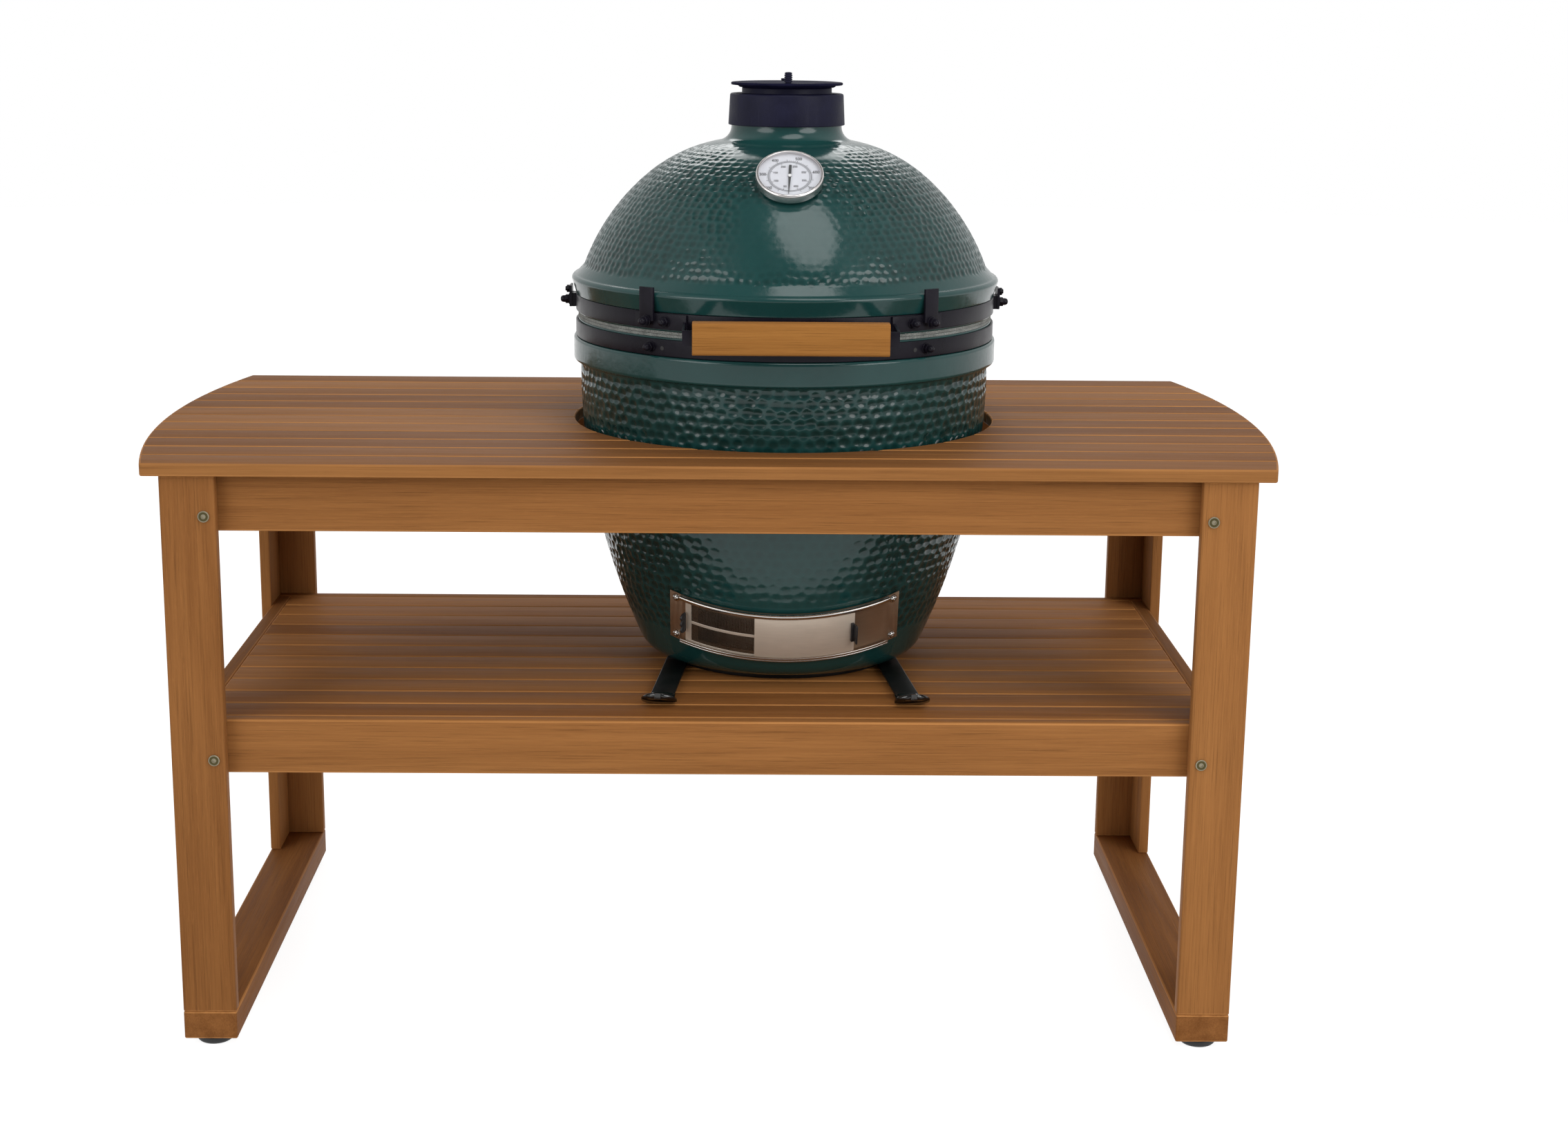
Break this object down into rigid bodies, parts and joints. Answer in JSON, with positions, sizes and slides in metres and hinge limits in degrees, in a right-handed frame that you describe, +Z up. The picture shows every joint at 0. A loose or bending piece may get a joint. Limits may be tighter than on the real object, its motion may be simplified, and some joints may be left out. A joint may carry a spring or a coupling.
{
  "type": "kamado grill table",
  "caption": "Slatted hardwood table with a lower shelf, carrying a domed ceramic kamado grill in a round hole, with hinged lid, vent cap, thermometer and sliding draft door.",
  "frame": {"origin": "floor level below the centre of the table", "axes": "+X along the table to the cook's right, +Y to the back of the table, +Z up; the cook stands at -Y"},
  "size_m": [1.538, 0.75, 1.2842],
  "materials": {
    "teak": "oiled hardwood, satin",
    "frame_steel": "satin",
    "glide_plastic": "matte",
    "green_glaze": "glossy dimpled glaze",
    "felt": "felt",
    "band_steel": "satin black powder coat",
    "nut_black": "satin black coating",
    "spring_steel": "oiled",
    "grip_wood": "varnished",
    "fire_clay": "unglazed",
    "black_iron": "seasoned",
    "grid_steel": "satin",
    "draft_steel": "brushed",
    "dial_steel": "polished",
    "dial_white": "matte",
    "dial_black": "matte",
    "dial_glass": "clear",
    "cap_iron": "matte black",
    "cap_hardware": "satin",
    "nest_black": "gloss black"
  },
  "bodies": {
    "table": {"top_slats": "teak", "front_apron": "teak", "back_apron": "teak", "left_end_apron": "teak", "right_end_apron": "teak", "shelf_front_rail": "teak", "shelf_back_rail": "teak", "shelf_left_cleat": "teak", "shelf_right_cleat": "teak", "top_bearers": "teak", "shelf_bearers": "teak", "shelf_slats": "teak", "foot_rail_left": "teak", "foot_rail_right": "teak", "leg_front_left_face": "teak", "leg_front_left_side": "teak", "leg_front_right_face": "teak", "leg_front_right_side": "teak", "leg_back_left_face": "teak", "leg_back_left_side": "teak", "leg_back_right_face": "teak", "leg_back_right_side": "teak", "frame_bolts": "frame_steel", "frame_nuts": "frame_steel", "glides": "glide_plastic", "base_shell": "green_glaze", "base_gasket": "felt", "base_band": "band_steel", "hinge_lower_bracket": "band_steel", "hinge_pin": "band_steel", "base_band_nuts": "nut_black", "lift_springs": "spring_steel", "fire_box": "fire_clay", "fire_ring": "fire_clay", "fire_grate": "black_iron", "cooking_grid": "grid_steel", "draft_frame": "draft_steel", "draft_screws": "draft_steel", "nest_ring": "nest_black", "nest_legs": "nest_black"},
    "lid": {"dome_shell": "green_glaze", "dome_gasket": "felt", "dome_band": "band_steel", "dome_band_nuts": "nut_black", "side_clamps": "band_steel", "handle_bracket_left": "band_steel", "handle_bracket_right": "band_steel", "handle_grip": "grip_wood", "hinge_upper_bracket": "band_steel", "cap_body": "cap_iron", "cap_pivot_pin": "cap_hardware", "thermometer_case": "dial_steel", "thermometer_dial": "dial_white", "thermometer_lens": "dial_glass", "thermometer_stem": "dial_steel"},
    "vent_disc": {"cap_disc": "cap_iron", "cap_knob": "cap_hardware"},
    "needle": {"thermometer_needle": "dial_black"},
    "solid_door": {"draft_solid_door": "draft_steel"},
    "screen_door": {"draft_screen_door": "draft_steel"}
  },
  "joints": [
    {"name": "lid_hinge", "type": "hinge", "parent": "table", "child": "lid", "pos_m": [0.1025, 0.362, 0.9475], "axis": [-1, 0, 0], "range_deg": [0, 75], "stiffness_Nm_per_rad": 40, "springref_deg": 75},
    {"name": "vent_disc_swing", "type": "hinge", "parent": "lid", "child": "vent_disc", "pos_m": [0.1025, 0.079, 1.2655], "axis": [0, 0, 1], "range_deg": [0, 150]},
    {"name": "needle_turn", "type": "hinge", "parent": "lid", "child": "needle", "pos_m": [0.1025, -0.17179, 1.15305], "axis": [0, 0.6293, -0.7771], "range_deg": [0, 330], "stiffness_Nm_per_rad": 0.001},
    {"name": "solid_door_slide", "type": "hinge", "parent": "table", "child": "solid_door", "pos_m": [0.1025, 0.025, 0.62017], "axis": [0, -0.3629, 0.9318], "range_deg": [-20, 11]},
    {"name": "screen_door_slide", "type": "hinge", "parent": "table", "child": "screen_door", "pos_m": [0.1025, 0.025, 0.62017], "axis": [0, -0.3629, 0.9318], "range_deg": [0, 19]}
  ]
}
